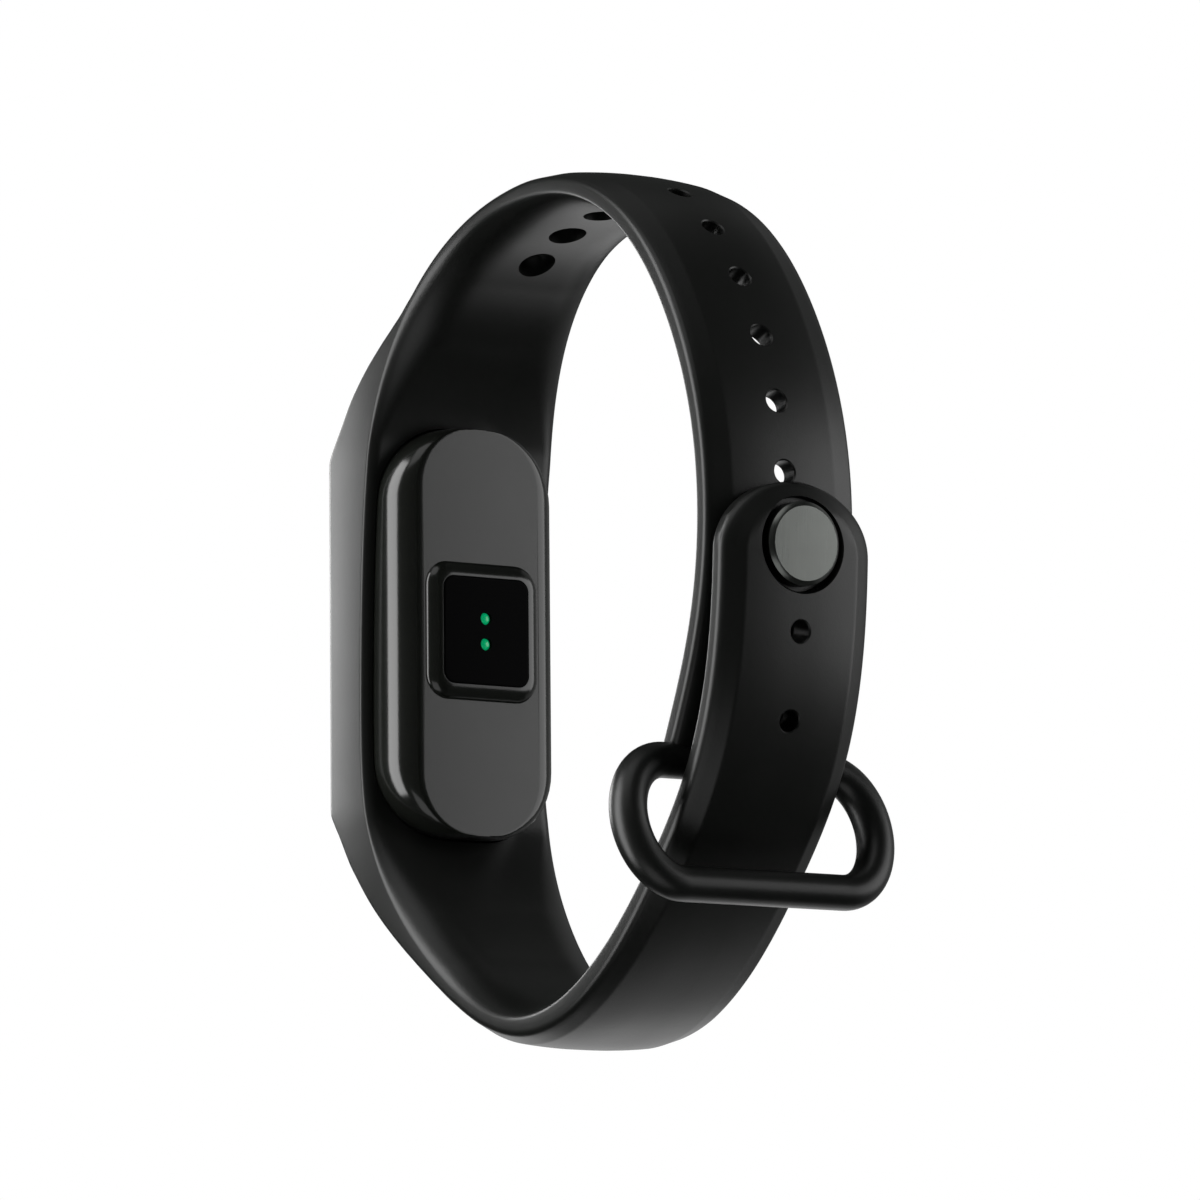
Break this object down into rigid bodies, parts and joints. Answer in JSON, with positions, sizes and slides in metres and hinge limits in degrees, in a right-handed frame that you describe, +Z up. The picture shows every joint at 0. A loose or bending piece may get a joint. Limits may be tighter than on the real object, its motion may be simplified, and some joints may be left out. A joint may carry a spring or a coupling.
{
  "type": "fitness tracker band",
  "caption": "Wrist fitness tracker in a silicone band, closed as worn: faceted cradle, raised back with optical sensor, stud clasp with adjustment holes and a rounded keeper loop.",
  "frame": {"origin": "middle of the wrist opening, half way across the band's width", "axes": "+Z up along the tracker's long side, Y along the wrist, -X out of the display and +X out of the clasp"},
  "size_m": [0.06, 0.0274, 0.0746],
  "materials": {
    "silicone": "satin, very fine grain",
    "shell": "smooth satin gloss",
    "steel": "fine satin with a polished edge",
    "black_glass": "polished black",
    "green_led": "clear green dome",
    "gold": "plated",
    "laminate": "solder mask",
    "chip": "moulded resin",
    "foil": "laminated foil",
    "film": "polyimide film",
    "foam": "closed-cell foam",
    "panel": "polished",
    "ceramic": "fired ceramic"
  },
  "bodies": {
    "band": {"strap_cradle": "silicone", "holed_strap": "silicone", "peg_strap": "silicone"},
    "clasp_flap": {"peg_strap_tip": "silicone", "clasp_stud_head": "steel", "clasp_stud_pin": "steel"},
    "keeper": {"keeper_loop": "silicone"},
    "tracker": {"tracker_rear_shell": "shell", "tracker_front_shell": "shell", "case_seal": "foam", "display_lens": "black_glass", "lens_adhesive": "foam", "display_panel": "panel", "display_flex": "film", "touch_electrode": "film", "main_board": "laminate", "bluetooth_chip": "chip", "motion_sensor_chip": "chip", "flash_chip": "chip", "crystal": "foil", "antenna": "ceramic", "battery_cell": "foil", "battery_tape": "film", "battery_protection_board": "laminate", "motor_can": "steel", "motor_shaft": "steel", "sensor_board": "laminate", "sensor_window": "black_glass", "green_led_upper": "green_led", "green_led_lower": "green_led", "light_barrier": "foam", "photodiode": "chip", "charging_pad_left": "gold", "charging_pad_right": "gold"},
    "vibration_motor": {"motor_weight": "steel"}
  },
  "joints": [
    {"name": "clasp_flap_peel", "type": "hinge", "parent": "band", "child": "clasp_flap", "pos_m": [0.03525, 0, -0.01525], "axis": [0, 1, 0], "range_deg": [0, 35], "stiffness_Nm_per_rad": 0.002},
    {"name": "keeper_flex", "type": "hinge", "parent": "band", "child": "keeper", "pos_m": [0.03054, 0, -0.01568], "axis": [0, 1, 0], "range_deg": [-15, 10], "stiffness_Nm_per_rad": 0.002},
    {"name": "tracker_release", "type": "slide", "parent": "band", "child": "tracker", "axis": [1, 0, 0], "range_m": [0, 0.014]},
    {"name": "vibration_motor_spin", "type": "hinge", "parent": "tracker", "child": "vibration_motor", "pos_m": [-0.014, 0, 0.0115], "axis": [1, 0, 0], "continuous": true}
  ]
}
